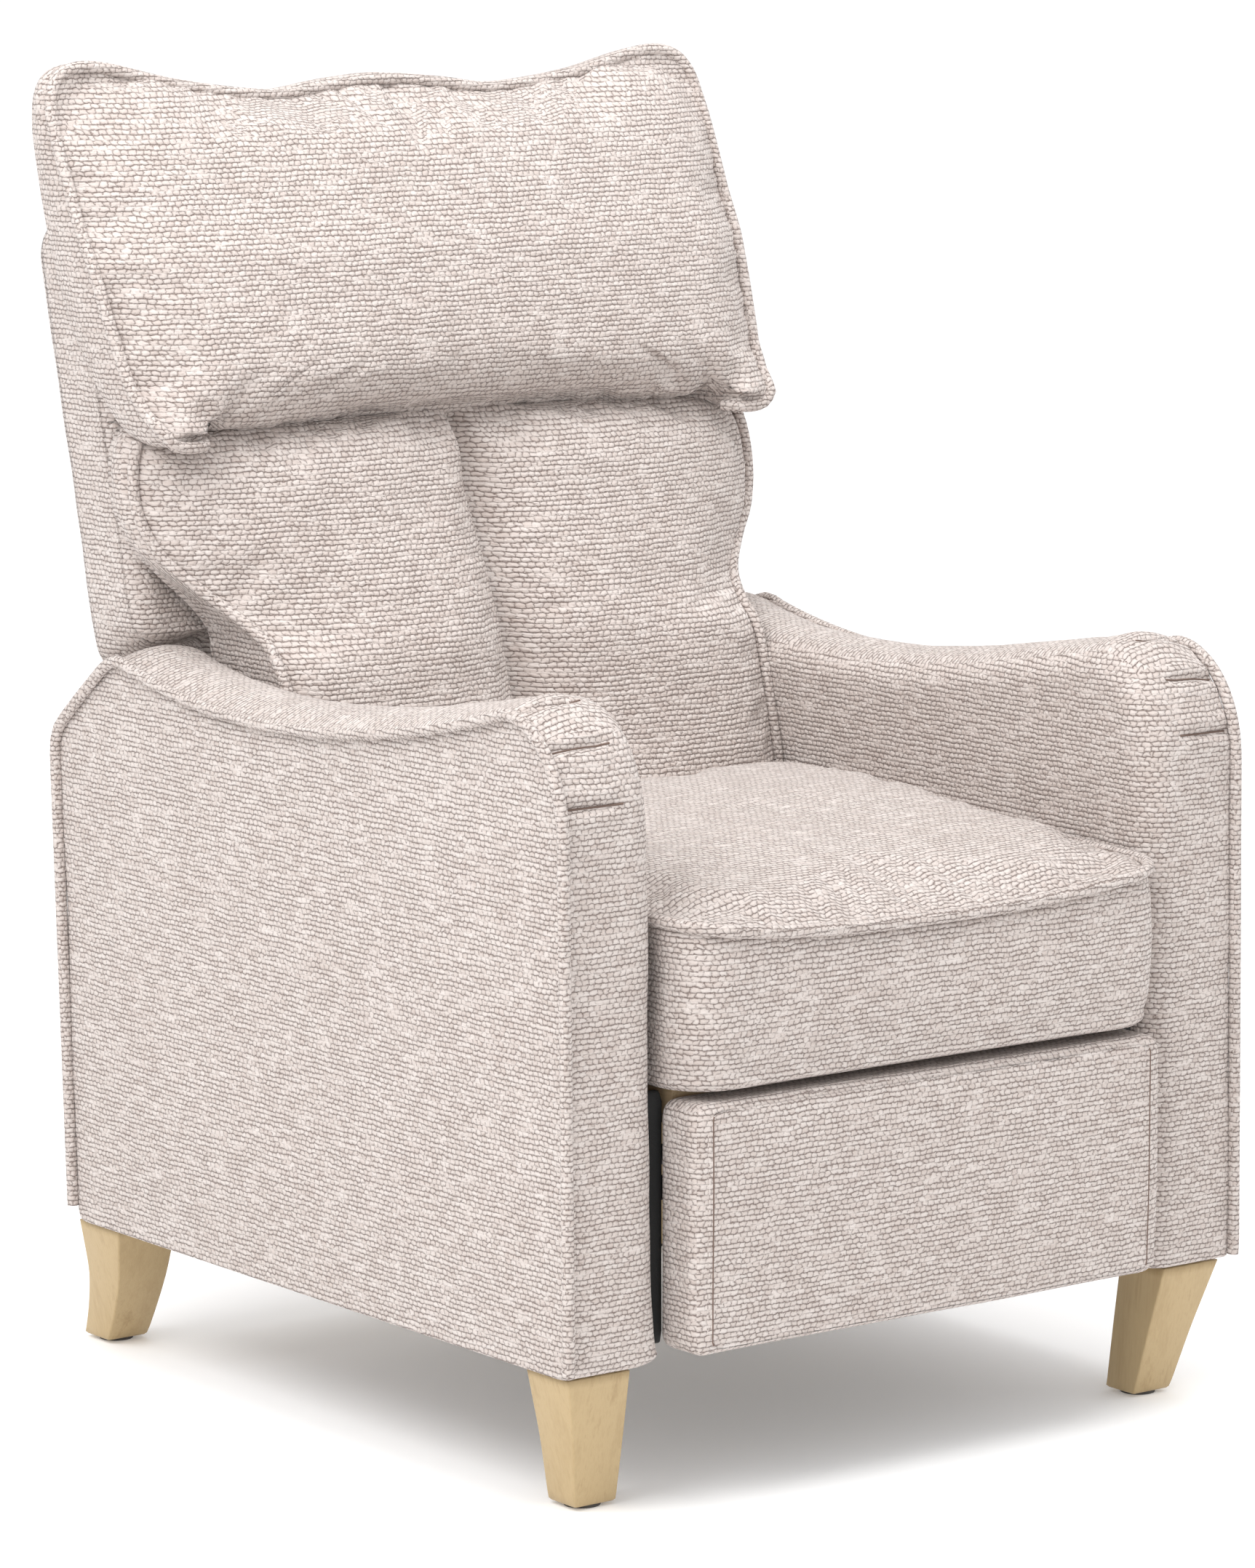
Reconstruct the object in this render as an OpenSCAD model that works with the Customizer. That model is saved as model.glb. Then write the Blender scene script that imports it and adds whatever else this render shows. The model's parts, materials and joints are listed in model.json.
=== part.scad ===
// Push-back recliner armchair: fixed base with two arms, a seat that glides
// forward, a back that leans, and a footrest on a parallel linkage.
// Millimetres, +Z up, the chair faces -Y, and x = 0 is the plane of symmetry.
// Every module draws with y counted back from the arms' front plane;
// placed() then moves it into the chair's own frame.

/* [Overall] */
// Place of the arms' front plane, which centres the chair on the origin
arm_front_y = -369.8; // [-372:0.1:-368]
// Height of the underside of the arms above the floor
arm_bottom_z = 110; // [105:1:115]

/* [Arms] */
// Distance from the centre plane to the arm's inner face
arm_inner_x = 241; // [240.9:0.1:242]
// Width of one arm
arm_w = 89; // [86:1:90]
// Height of the front hump of the arm
arm_hump_z = 604; // [600:1:606]
// Height of the lowest stretch of the arm's top
arm_dip_z = 564; // [560:1:566]
// Height of the rear hump of the arm
arm_rear_hump_z = 588; // [584:1:590]
// Distance back to the rear edge of the arm
arm_rear_y = 690; // [686:1:694]
// Thickness of the padded cover over the arm's frame
arm_pad_t = 14; // [12:1:18]

/* [Legs] */
// Thickness of the plastic glide under each leg
glide_t = 3; // [2:0.5:4]
// Radius of the plastic glide
glide_r = 14; // [12:1:16]

/* [Seat] */
// Half the width of the seat cushion
cushion_half_w = 236; // [232:1:237]
// How far the cushion stands out in front of the arms
cushion_front = 38; // [36:1:40]
// Distance back to the rear face of the cushion
cushion_rear_y = 455; // [450:1:458]
// Height of the cushion's underside
cushion_bottom_z = 317; // [316:1:320]
// Height of the cushion at the middle of its crown
cushion_crown_z = 484; // [480:1:490]
// How far the seat glides forward as the back leans
seat_travel = 45; // [40:1:46]

/* [Back] */
// Lean of the upright back, in degrees
back_lean = 14.3; // [14:0.1:14.6]
// Thickness of the back's frame and cover
back_t = 85; // [80:1:88]
// Half the width of the back above the arms
back_wing_half_w = 300; // [296:1:302]
// Half the width of the back between the arms
back_low_half_w = 232; // [228:1:234]
// Half the width of the head pillow near its top
pillow_half_w = 328; // [324:1:330]
// Height of the top of the head pillow
pillow_top_z = 1050; // [1046:1:1054]
// Half the width of the lumbar cushion above the arms
lumbar_half_w = 310; // [306:1:312]

/* [Footrest] */
// Half the width of the footrest panel
footrest_half_w = 233; // [230:1:234]
// Height of the lower edge of the closed footrest
footrest_bottom_z = 118; // [116:1:120]
// Height of the upper edge of the closed footrest
footrest_top_z = 312; // [308:1:313]
// Length of each link between its pins
link_len = 160; // [158:1:161]

/* [Hidden] */
$fn = 48;

// Arm outline, in (distance back, height)
arm_front_foot_y = -6;
arm_curve_start_z = 520;
arm_hump_y = 64;
arm_dip_y = 397;
arm_rear_hump_y = 601;
arm_chamfer_z = 512;
arm_rear_foot_y = 671;

// Lateral layers of the mechanism, each given by its inner face
layer_t = 4;
plate_x = 219;
link_x = 213;
rest_arm_x = 207;
bracket_x = 201;
channel_x = 227;
channel_wall = 1.8;
link_half_h = 9;

// Pins and their running bores
pin_r = 5;
recline_pin_r = 6;
running_gap = 0.05;
open_pivot_gap = 0.6;
fixed_gap = 0.01;

// Pivots, in (distance back, height)
link_rest_angle = -145;
front_pivot = [80, 270];
rear_pivot = [164, 237];
recline_pivot = [545, 330];
tilt_pivot = [24, 240];
link_reach = [-link_len * cos(link_rest_angle), link_len * sin(link_rest_angle)];
front_link_end = front_pivot + link_reach;
rear_link_end = rear_pivot + link_reach;

// The back's front plane passes through this point
back_ref = [608, 600];
back_cover_low = -280;
back_side_low = -225;
back_cover_top = 353;
stile_x = 191;
stile_t = 22;

// Wooden members
rail_z = 290;
rail_t = 25;
rail_half_w = 218.5;

function arc_point(c, rx, rz, a) = [c[0] + rx * cos(a), c[1] + rz * sin(a)];

// Arm outline drawn in by the given inset on every side
function arm_outline(inset) = concat(
    [[arm_front_foot_y + inset, arm_bottom_z + inset]],
    [for (a = [180:-10:90])
        arc_point([arm_hump_y, arm_curve_start_z], arm_hump_y - inset,
                  arm_hump_z - arm_curve_start_z - inset, a)],
    [for (i = [1:8])
        let (t = i / 8, y = arm_hump_y + t * (arm_dip_y - arm_hump_y))
        [y, arm_dip_z - inset + (arm_hump_z - arm_dip_z) * pow(1 - t, 2)]],
    [for (i = [1:5])
        let (t = i / 5, y = arm_dip_y + t * (arm_rear_hump_y - arm_dip_y))
        [y - inset * t * 0.4, arm_dip_z - inset + (arm_rear_hump_z - arm_dip_z) * pow(t, 2)]],
    [[arm_rear_y - inset, arm_chamfer_z - inset * 0.4],
     [arm_rear_foot_y - inset, arm_bottom_z + inset]]
);

module placed() {
    translate([0, arm_front_y, 0]) children();
}

// Draws its children on the chair's left as well as its right
module both_sides() {
    children();
    mirror([1, 0, 0]) children();
}

// Extrudes an outline in (distance back, height) across the chair
module across(x, t) {
    translate([x, 0, 0]) rotate([90, 0, 90]) linear_extrude(t) children();
}

// Extrudes an outline in (x, height) backwards from y
module backwards(y, t) {
    translate([0, y + t, 0]) rotate([90, 0, 0]) linear_extrude(t) children();
}

// Rod along x at a point given in (distance back, height)
module rod(p, x, len, r) {
    translate([x, p[0], p[1]]) rotate([0, 90, 0]) cylinder(h = len, r = r);
}

// Block from one corner to the opposite one
module block(low, high) {
    translate(low) cube(high - low);
}

// Frame of the leaning back: y runs back through it, z runs up along it
module lean() {
    translate([0, back_ref[0], back_ref[1]]) rotate([-back_lean, 0, 0]) children();
}

// Outline of a flat bar with round ends between two pivots
function bar_outline(p, q, r) =
    let (slope = atan2(q[1] - p[1], q[0] - p[0]))
    concat([for (a = [90:15:270]) arc_point(p, r, r, a + slope)],
           [for (a = [-90:15:90]) arc_point(q, r, r, a + slope)]);

// Flat bar with round ends and a bore at each pivot
module link_bar(p, q, x, bore_p, bore_q) {
    difference() {
        across(x, layer_t) polygon(bar_outline(p, q, link_half_h));
        rod(p, x - 1, layer_t + 2, bore_p);
        rod(q, x - 1, layer_t + 2, bore_q);
    }
}

// The base

module arm_cover_shape() {
    color([0.82, 0.77, 0.74]) placed() difference() {
        across(arm_inner_x, arm_w) polygon(arm_outline(0));
        across(arm_inner_x + 8, arm_w - 16) polygon(arm_outline(arm_pad_t));
    }
}

module arm_frame_shape() {
    x0 = arm_inner_x + 12;
    x1 = x0 + 44;
    low = arm_bottom_z + arm_pad_t;
    rail_h = 45;
    top_rail_z = 505;
    color([0.78, 0.64, 0.45]) placed() {
        block([x0, 14, low], [x1, 56, top_rail_z]);
        block([x0, 600, low], [x1, 645, top_rail_z - 10]);
        block([x0, 56, low], [x1, 600, low + rail_h]);
        block([x0, 56, 225], [x1, 600, 275]);
        block([x0, 56, top_rail_z - rail_h], [x1, 600, top_rail_z]);
    }
}

module arm_panel_shape() {
    panel_x = arm_inner_x + arm_w - 13;
    color([0.55, 0.42, 0.3]) placed()
        block([panel_x, 20, 130], [panel_x + 3, 640, 500]);
}

module front_stretcher() {
    color([0.78, 0.64, 0.45]) placed()
        block([-arm_inner_x, 335, 140], [arm_inner_x, 357, 205]);
}

module rear_stretcher() {
    color([0.78, 0.64, 0.45]) placed()
        block([-arm_inner_x, 600, 116], [arm_inner_x, 640, 160]);
}

module rear_panel() {
    color([0.82, 0.77, 0.74]) placed()
        block([-arm_inner_x, 652, 112], [arm_inner_x, 668, 300]);
}

// Tapered, splayed leg: a side outline met by a front outline
module leg_shape(side_outline) {
    color([0.84, 0.74, 0.58]) placed() intersection() {
        across(250, 90) polygon(side_outline);
        backwards(-10, 740)
            polygon([[260, glide_t], [299, glide_t], [310, 55], [325, arm_bottom_z],
                     [267, arm_bottom_z]]);
    }
}

module leg_front_shape() {
    leg_shape([[28, glide_t], [62, glide_t], [57, 60], [54, arm_bottom_z],
               [1, arm_bottom_z], [15, 55]]);
}

module leg_rear_shape() {
    leg_shape([[675, glide_t], [711, glide_t], [697, 30], [684, 62], [676, arm_bottom_z],
               [617, arm_bottom_z], [638, 62], [657, 30]]);
}

// One place over each leg for its hanger bolt
module at_legs(y_front, y_rear, x) {
    for (y = [y_front, y_rear]) translate([x, y, 0]) children();
}

module leg_bolts() {
    color("silver") placed() both_sides()
        at_legs(36, 648, 288) translate([0, 0, 80]) cylinder(h = 62, r = 4);
}

module leg_glides() {
    color([0.2, 0.19, 0.18]) placed() both_sides()
        at_legs(45, 693, 279.5) cylinder(h = glide_t, r = glide_r);
}

module slide_channel_shape() {
    color([0.22, 0.22, 0.23]) placed() difference() {
        block([channel_x, 60, 226], [arm_inner_x - 0.2, 498, 274]);
        block([channel_x - 1, 59, 228], [arm_inner_x - 0.2 - channel_wall, 499, 272]);
    }
}

module channel_screws() {
    head_x = arm_inner_x - 0.2 - channel_wall - 2.4;
    color("silver") placed() both_sides() for (y = [90, 315, 489]) {
        rod([y, 250], head_x, 2.4, 5.5);
        rod([y, 250], head_x + 2.4, 36, 2.5);
    }
}

// The seat

module seat_cushion() {
    w = cushion_half_w;
    f = -cushion_front;
    side_z = 458;
    color([0.88, 0.85, 0.83]) placed() difference() {
        intersection() {
            across(-w, 2 * w)
                polygon(concat(
                    [[f + 10, cushion_bottom_z], [f + 2, 335], [f, 380], [f + 3, 420],
                     [f + 9, 440], [f + 24, 455]],
                    [for (i = [1:8])
                        let (y = f + 24 + i * (cushion_rear_y - f - 30) / 8)
                        [y, 455 + (cushion_crown_z - 455) * sin(30 + i * 150 / 8 * 0.9)]],
                    [[cushion_rear_y, 440], [cushion_rear_y, cushion_bottom_z]]));
            backwards(f - 1, cushion_rear_y - f + 2)
                polygon(concat(
                    [[-w + 6, cushion_bottom_z], [-w, 370], [-w + 4, 435]],
                    [for (i = [0:12])
                        let (x = -w + 14 + i * (2 * w - 28) / 12)
                        [x, side_z + (cushion_crown_z - side_z) * sin(i * 15)]],
                    [[w - 4, 435], [w, 370], [w - 6, cushion_bottom_z]]));
        }
        block([-200.3, 9.7, 334.7], [200.3, 420.3, 430.3]);
    }
}

module seat_core() {
    color([0.95, 0.9, 0.7]) placed() block([-200, 10, 335], [200, 420, 430]);
}

module seat_deck() {
    color([0.75, 0.74, 0.72]) placed()
        block([-rail_half_w, 14, rail_z + rail_t + 0.2],
              [rail_half_w, 450, cushion_bottom_z - 0.2]);
}

module seat_front_rail() {
    color([0.78, 0.64, 0.45]) placed()
        block([-rail_half_w, 14, rail_z], [rail_half_w, 38, rail_z + rail_t]);
}

module seat_rear_rail() {
    color([0.78, 0.64, 0.45]) placed()
        block([-rail_half_w, 428, rail_z], [rail_half_w, 450, rail_z + rail_t]);
}

module seat_side_rail_shape() {
    color([0.78, 0.64, 0.45]) placed()
        block([rail_half_w - 22, 38, rail_z], [rail_half_w, 428, rail_z + rail_t]);
}

// One sinuous spring: cross runs joined by half turns, at mid height of the rails
module sinuous_spring(x) {
    wire_r = 1.8;
    turn_r = 15.9;
    run = 24;
    turns = 13;
    z = rail_z + rail_t - 6;
    translate([x, 40.5, z]) for (i = [0:turns - 1]) {
        s = i % 2 == 0 ? 1 : -1;
        y = i * 2 * turn_r;
        translate([-run / 2, y, 0]) rotate([0, 90, 0]) cylinder(h = run, r = wire_r);
        if (i < turns - 1) translate([s * run / 2, y + turn_r, 0])
            rotate([0, 0, s > 0 ? -90 : 90])
                rotate_extrude(angle = 180) translate([turn_r, 0]) circle(r = wire_r);
    }
}

module seat_springs() {
    color("silver") placed() for (x = [-135, -45, 45, 135]) sinuous_spring(x);
}

module dust_cover() {
    color([0.15, 0.15, 0.15]) placed()
        block([-195, 20, rail_z - 2], [195, 446, rail_z - 0.4]);
}

module side_plate_shape() {
    ear_r = 18;
    color([0.2, 0.2, 0.21]) placed() difference() {
        union() {
            across(plate_x, layer_t)
                polygon([[52, 256], [66, 250], [140, 223], [565, 223],
                         [recline_pivot[0] + ear_r, recline_pivot[1]],
                         [recline_pivot[0] - ear_r, recline_pivot[1]],
                         [510, 312], [64, 312], [52, 296]]);
            rod(recline_pivot, plate_x, layer_t, ear_r);
        }
        rod(front_pivot, plate_x - 1, layer_t + 2, pin_r + fixed_gap);
        rod(rear_pivot, plate_x - 1, layer_t + 2, pin_r + fixed_gap);
        rod(recline_pivot, plate_x - 1, layer_t + 2, recline_pin_r + fixed_gap);
    }
}

module glide_blocks() {
    color([0.93, 0.93, 0.9]) placed() both_sides() for (y = [200, 420])
        block([plate_x + layer_t, y, 228.4], [arm_inner_x - 2.8, y + 60, 271.6]);
}

// Headed pin: its head is on the outer side, at larger x
module headed_pin(p, x, len, r) {
    rod(p, x, len, r);
    rod(p, x + len, 2.4, r + 3);
}

module lift_pins() {
    color("silver") placed() both_sides() for (p = [front_pivot, rear_pivot])
        headed_pin(p, link_x - 1, plate_x + layer_t - link_x + 1, pin_r);
}

module recline_pins() {
    color("silver") placed() both_sides()
        headed_pin(recline_pivot, link_x - 1, plate_x + layer_t - link_x + 1, recline_pin_r);
}

module plate_screws() {
    color("silver") placed() both_sides() for (y = [110, 270, 400]) {
        rod([y, rail_z + rail_t / 2], rail_half_w - 16, plate_x + layer_t - rail_half_w + 16, 2);
        rod([y, rail_z + rail_t / 2], plate_x + layer_t, 2.2, 4.5);
    }
}

// The back

module back_stile_shape() {
    color([0.78, 0.64, 0.45]) placed() lean()
        block([stile_x, 14, -262], [stile_x + stile_t, 58, 340]);
}

module back_rail(low, high) {
    color([0.78, 0.64, 0.45]) placed() lean()
        block([-stile_x, 20, low], [stile_x, 42, high]);
}

module back_top_rail() {
    back_rail(280, 340);
}

module back_middle_rail() {
    back_rail(20, 70);
}

module back_bottom_rail() {
    back_rail(-262, -212);
}

module back_webbing() {
    strap_w = 50;
    color([0.25, 0.25, 0.27]) placed() lean() for (w = [-190, -120, -50, 90, 160, 230])
        block([-stile_x - stile_t, 11.5, w - strap_w / 2],
              [stile_x + stile_t, 13.8, w + strap_w / 2]);
}

module back_cover() {
    color([0.82, 0.77, 0.74]) placed() lean() difference() {
        backwards(0, back_t) polygon([
            [-back_low_half_w, back_cover_low], [back_low_half_w, back_cover_low],
            [back_low_half_w, -4], [back_wing_half_w - 14, -4], [back_wing_half_w, 12],
            [back_wing_half_w, back_cover_top - 30], [back_wing_half_w - 12, back_cover_top],
            [-back_wing_half_w + 12, back_cover_top],
            [-back_wing_half_w, back_cover_top - 30],
            [-back_wing_half_w, 12], [-back_wing_half_w + 14, -4], [-back_low_half_w, -4]]);
        block([-stile_x - stile_t - 6, -1, back_cover_low + 10],
              [stile_x + stile_t + 6, back_t - 20, back_cover_top - 8]);
        block([-back_low_half_w - 1, -1, back_cover_low - 1],
              [back_low_half_w + 1, back_t - 20, back_side_low]);
    }
}

// Front plane of the back at height z, less a small gap
function back_plane_y(z) = back_ref[0] + (z - back_ref[1]) * tan(back_lean) - 1.5;

module lumbar_cushion() {
    w = lumbar_half_w;
    color([0.84, 0.8, 0.77]) placed() difference() {
        intersection() {
            across(-w, 2 * w)
                polygon([[464, 360], [459, 400], [461, 450], [470, 500], [487, 560],
                         [512, 620], [540, 680], [566, 730], [592, 760],
                         [back_plane_y(764), 764], [back_plane_y(360), 360]]);
            backwards(450, 250)
                polygon([[-225, 358], [225, 358], [233, 560], [238, 606], [w - 8, 664],
                         [w, 694], [w, 740], [w - 20, 765], [-w + 20, 765], [-w, 740],
                         [-w, 694], [-w + 8, 664], [-238, 606], [-233, 560]]);
        }
        lean() block([-200.3, -42.3, -190.3], [200.3, -13.7, 100.3]);
    }
}

module lumbar_core() {
    color([0.95, 0.9, 0.7]) placed() lean()
        block([-200, -42, -190], [200, -14, 100]);
}

module head_pillow() {
    w = pillow_half_w;
    t = pillow_top_z;
    color([0.84, 0.8, 0.78]) placed() difference() {
        intersection() {
            across(-w, 2 * w)
                polygon([[583, 768], [560, 772], [552, 790], [560, 840], [576, 890],
                         [596, 940], [622, 990], [650, t - 18], [682, t], [708, t - 12],
                         [717, 1000], [back_plane_y(945), 948], [back_plane_y(768), 768]]);
            backwards(540, 200)
                polygon([[-w + 30, 765], [w - 30, 765], [w - 10, 790], [w - 2, 900],
                         [w, 1000], [w - 8, 1036], [w - 30, t], [-w + 30, t],
                         [-w + 8, 1036], [-w, 1000], [-w + 2, 900], [-w + 10, 790]]);
        }
        lean() block([-230.3, -48.3, 204.7], [230.3, -15.7, 350.3]);
    }
}

module pillow_core() {
    color([0.95, 0.9, 0.7]) placed() lean()
        block([-230, -48, 205], [230, -16, 350]);
}

module back_bracket_shape() {
    ear_r = 16;
    color([0.2, 0.2, 0.21]) placed() difference() {
        union() {
            rod(recline_pivot, link_x, layer_t, ear_r);
            lean() across(link_x, layer_t)
                polygon([[-8, -285], [20, -285], [56, -225], [56, -110], [18, -110],
                         [18, -225], [-8, -262]]);
        }
        rod(recline_pivot, link_x - 1, layer_t + 2, recline_pin_r + running_gap);
    }
}

module bracket_screws() {
    color("silver") placed() both_sides() lean() for (w = [-205, -165, -125]) {
        rod([37, w], stile_x + 4, stile_t - 4 + layer_t, 2.5);
        rod([37, w], link_x + layer_t, 1.6, 5);
    }
}

// The footrest linkage

module link_front_shape() {
    color([0.2, 0.2, 0.21]) placed()
        link_bar(front_pivot, front_link_end, link_x, pin_r + running_gap, pin_r + running_gap);
}

module link_tube() {
    along = 60 / link_len;
    p = front_pivot + along * link_reach;
    color([0.2, 0.2, 0.21]) placed() difference() {
        rod(p, -link_x, 2 * link_x, 8);
        rod(p, -link_x - 1, 2 * link_x + 2, 6.5);
    }
}

module link_rear_shape() {
    color([0.2, 0.2, 0.21]) placed()
        link_bar(rear_pivot, rear_link_end, link_x, pin_r + running_gap, pin_r + open_pivot_gap);
}

module footrest_arm_shape() {
    r = link_half_h;
    color([0.2, 0.2, 0.21]) placed() difference() {
        union() {
            across(rest_arm_x, layer_t) polygon(bar_outline(rear_link_end, front_link_end, r));
            across(rest_arm_x, layer_t) polygon(bar_outline(front_link_end, tilt_pivot, r));
        }
        rod(rear_link_end, rest_arm_x - 1, layer_t + 2, pin_r + fixed_gap);
        rod(front_link_end, rest_arm_x - 1, layer_t + 2, pin_r + fixed_gap);
        rod(tilt_pivot, rest_arm_x - 1, layer_t + 2, pin_r + running_gap);
    }
}

module arm_tube() {
    p = front_link_end + 0.74 * (tilt_pivot - front_link_end);
    color([0.2, 0.2, 0.21]) placed() difference() {
        rod(p, -rest_arm_x, 2 * rest_arm_x, 8);
        rod(p, -rest_arm_x - 1, 2 * rest_arm_x + 2, 6.5);
    }
}

// Pins fixed in the footrest arms that carry both links
module link_pins() {
    color("silver") placed() both_sides() for (p = [front_link_end, rear_link_end]) {
        rod(p, rest_arm_x, link_x + layer_t + 0.8 - rest_arm_x, pin_r);
        rod(p, rest_arm_x - 2.4, 2.4, pin_r + 3);
    }
}

// Bracket with its tilt pin, standing behind the footrest's board
module footrest_bracket_shape() {
    ear_r = 11;
    color([0.2, 0.2, 0.21]) placed() {
        across(bracket_x, layer_t)
            polygon([[10, 200], [13, 200], [34, 232], [34, 248], [13, 280], [10, 280]]);
        block([bracket_x - 26, 10, 200], [bracket_x, 13, 280]);
        rod(tilt_pivot, bracket_x - 2, rest_arm_x + layer_t + 1 - bracket_x + 2, pin_r);
    }
}

module footrest_board() {
    w = footrest_half_w - 8;
    color([0.78, 0.64, 0.45]) placed()
        block([-w, -2, footrest_bottom_z + 8], [w, 10, footrest_top_z - 8]);
}

module footrest_pad() {
    w = footrest_half_w;
    low = footrest_bottom_z;
    high = footrest_top_z;
    front = -cushion_front;
    color([0.78, 0.73, 0.7]) placed() difference() {
        across(-w, 2 * w)
            polygon([[8, low], [10, low + 3], [10, high - 3], [8, high], [front + 16, high],
                     [front + 5, high - 6], [front, high - 20], [front, low + 20],
                     [front + 5, low + 6], [front + 16, low]]);
        block([-w + 7.8, -2.2, low + 7.8], [w - 7.8, 11, high - 7.8]);
    }
}

arm_cover_shape();  // arm_cover_right
mirror([1, 0, 0]) arm_cover_shape();  // arm_cover_left
arm_frame_shape();  // arm_frame_right
mirror([1, 0, 0]) arm_frame_shape();  // arm_frame_left
arm_panel_shape();  // arm_panel_right
mirror([1, 0, 0]) arm_panel_shape();  // arm_panel_left
front_stretcher();
rear_stretcher();
rear_panel();
leg_front_shape();  // leg_front_right
mirror([1, 0, 0]) leg_front_shape();  // leg_front_left
leg_rear_shape();  // leg_rear_right
mirror([1, 0, 0]) leg_rear_shape();  // leg_rear_left
leg_bolts();
leg_glides();
slide_channel_shape();  // slide_channel_right
mirror([1, 0, 0]) slide_channel_shape();  // slide_channel_left
channel_screws();
seat_cushion();
seat_core();
seat_deck();
seat_front_rail();
seat_rear_rail();
seat_side_rail_shape();  // seat_side_rail_right
mirror([1, 0, 0]) seat_side_rail_shape();  // seat_side_rail_left
seat_springs();
dust_cover();
side_plate_shape();  // side_plate_right
mirror([1, 0, 0]) side_plate_shape();  // side_plate_left
glide_blocks();
lift_pins();
recline_pins();
plate_screws();
back_stile_shape();  // back_stile_right
mirror([1, 0, 0]) back_stile_shape();  // back_stile_left
back_top_rail();
back_middle_rail();
back_bottom_rail();
back_webbing();
back_cover();
lumbar_cushion();
lumbar_core();
head_pillow();
pillow_core();
back_bracket_shape();  // back_bracket_right
mirror([1, 0, 0]) back_bracket_shape();  // back_bracket_left
bracket_screws();
link_front_shape();  // link_front_right
mirror([1, 0, 0]) link_front_shape();  // link_front_left
link_tube();
link_rear_shape();  // link_rear_right
mirror([1, 0, 0]) link_rear_shape();  // link_rear_left
footrest_arm_shape();  // footrest_arm_right
mirror([1, 0, 0]) footrest_arm_shape();  // footrest_arm_left
arm_tube();
link_pins();
footrest_bracket_shape();  // footrest_bracket_right
mirror([1, 0, 0]) footrest_bracket_shape();  // footrest_bracket_left
footrest_board();
footrest_pad();
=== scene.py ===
import json
import math
import bpy
import bmesh
import numpy as np
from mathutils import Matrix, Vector, noise


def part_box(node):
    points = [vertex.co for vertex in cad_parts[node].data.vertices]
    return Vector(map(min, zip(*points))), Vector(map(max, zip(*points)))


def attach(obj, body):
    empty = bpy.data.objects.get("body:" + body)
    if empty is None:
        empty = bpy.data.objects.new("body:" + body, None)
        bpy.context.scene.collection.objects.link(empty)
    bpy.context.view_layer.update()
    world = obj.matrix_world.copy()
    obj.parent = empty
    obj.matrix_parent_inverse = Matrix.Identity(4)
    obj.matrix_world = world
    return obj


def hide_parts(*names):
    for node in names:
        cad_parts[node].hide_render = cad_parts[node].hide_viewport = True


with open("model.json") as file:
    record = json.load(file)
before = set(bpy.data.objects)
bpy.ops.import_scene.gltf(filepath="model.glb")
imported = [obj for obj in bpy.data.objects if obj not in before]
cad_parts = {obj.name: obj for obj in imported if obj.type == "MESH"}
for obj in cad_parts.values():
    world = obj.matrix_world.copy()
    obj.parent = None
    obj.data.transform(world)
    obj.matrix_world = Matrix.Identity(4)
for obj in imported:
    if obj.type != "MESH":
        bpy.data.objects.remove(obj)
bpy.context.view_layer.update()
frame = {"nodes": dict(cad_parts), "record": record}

# The arms' front plane: every "back" distance below is counted from it
armLow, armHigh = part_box("arm_cover_right")
frontY = armLow.y + 0.006
armInnerX = armLow.x
armOuterX = armHigh.x
armBottomZ = armLow.z


# shader writing

class Wire:
    # one output socket; arithmetic on it adds Math nodes
    def __init__(self, shade, socket):
        self.shade = shade
        self.socket = socket

    def math(self, operation, *others):
        inputs = {0: self}
        for place, other in enumerate(others):
            inputs[place + 1] = other
        return self.shade.node("ShaderNodeMath", {"operation": operation}, inputs)[0]

    def __add__(self, other):
        return self.math("ADD", other)

    def __radd__(self, other):
        return self.math("ADD", other)

    def __mul__(self, other):
        return self.math("MULTIPLY", other)

    def __rmul__(self, other):
        return self.math("MULTIPLY", other)

    def __sub__(self, other):
        return self.math("SUBTRACT", other)

    def __rsub__(self, other):
        return (self * -1.0).math("ADD", other)

    def __truediv__(self, other):
        return self.math("DIVIDE", other)

    def __pow__(self, other):
        return self.math("POWER", other)

    def clamped(self, low, high):
        return self.math("MAXIMUM", low).math("MINIMUM", high)


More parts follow.
